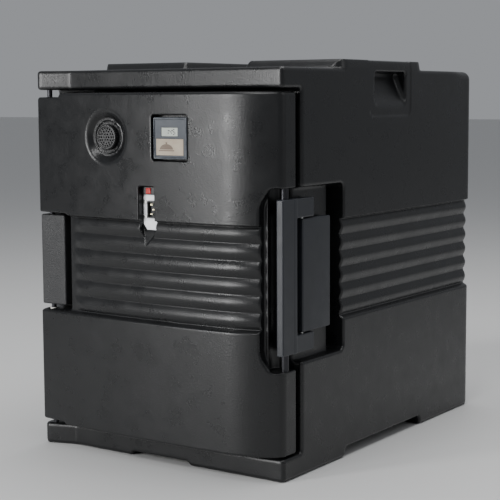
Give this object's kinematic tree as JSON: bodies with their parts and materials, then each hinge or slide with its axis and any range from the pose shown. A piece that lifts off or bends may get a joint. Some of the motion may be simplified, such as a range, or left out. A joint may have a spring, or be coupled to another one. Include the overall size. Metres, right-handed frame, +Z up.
{
  "type": "insulated food carrier",
  "caption": "Front-loading insulated food carrier with a bowed heated door, side latch, turning vent, thermometer, power inlet and pan rails.",
  "frame": {"origin": "bottom centre of the overall box, on the floor", "axes": "+Z up, the door faces -Y, the hinge is on the -X side and the latch on the +X side"},
  "size_m": [0.46, 0.664, 0.612],
  "materials": {
    "polyethylene": "matte",
    "liner_polyethylene": "matte",
    "foam": "matte",
    "hinge_polymer": "matte",
    "latch_nylon": "satin",
    "stainless": "satin",
    "aluminium_sheet": "satin",
    "seal_rubber": "matte",
    "bush_polymer": "matte",
    "black_polymer": "satin",
    "meter_polymer": "satin",
    "display": "gloss",
    "label_film": "satin",
    "dark_steel": "satin",
    "battery_steel": "polished",
    "inlet_plate_steel": "satin",
    "contact_brass": "polished",
    "lamp_lens": "gloss",
    "element_sheath": "satin",
    "cover_sheet": "satin",
    "wire_sleeve": "satin"
  },
  "bodies": {
    "cabinet": {"cabinet_shell": "polyethylene", "cabinet_foam": "foam", "cabinet_liner": "liner_polyethylene", "foam_plugs": "black_polymer", "hinge_block": "hinge_polymer", "hinge_block_studs": "stainless", "hinge_pin": "dark_steel", "latch_strike": "stainless"},
    "door": {"door_shell": "polyethylene", "door_foam": "foam", "door_liner": "liner_polyethylene", "door_gasket": "seal_rubber", "hinge_bushes": "bush_polymer", "vent_sleeve": "black_polymer", "vent_seal": "seal_rubber", "thermometer_housing": "meter_polymer", "thermometer_face": "meter_polymer", "thermometer_lcd": "display", "thermometer_label": "label_film", "thermometer_battery": "battery_steel", "thermometer_probe": "stainless", "inlet_plate": "inlet_plate_steel", "power_inlet": "black_polymer", "inlet_pins": "contact_brass", "inlet_screws": "stainless", "pilot_lamp": "lamp_lens", "heater_plate": "aluminium_sheet", "heater_element": "element_sheath", "heater_cover": "cover_sheet", "heater_cover_screws": "stainless", "thermostat": "black_polymer", "terminal_box": "black_polymer", "internal_wiring": "wire_sleeve", "latch_rod": "dark_steel"},
    "vent_cap": {"vent_cap": "black_polymer"},
    "latch_frame": {"latch_frame": "latch_nylon", "latch_lever_pins": "stainless"},
    "latch_lever": {"latch_lever": "latch_nylon"}
  },
  "joints": [
    {"name": "door_hinge", "type": "hinge", "parent": "cabinet", "child": "door", "pos_m": [-0.212, -0.296, 0.3], "axis": [0, 0, 1], "range_deg": [-180, 0]},
    {"name": "vent_turn", "type": "hinge", "parent": "door", "child": "vent_cap", "pos_m": [-0.081, -0.31, 0.496], "axis": [0, 1, 0], "range_deg": [0, 90]},
    {"name": "latch_swing", "type": "hinge", "parent": "door", "child": "latch_frame", "pos_m": [0.22, -0.288, 0.3], "axis": [0, 0, 1], "range_deg": [-160, 0]},
    {"name": "lever_pull", "type": "hinge", "parent": "latch_frame", "child": "latch_lever", "pos_m": [0.2235, -0.247, 0.3], "axis": [0, 0, 1], "range_deg": [-80, 0]}
  ]
}
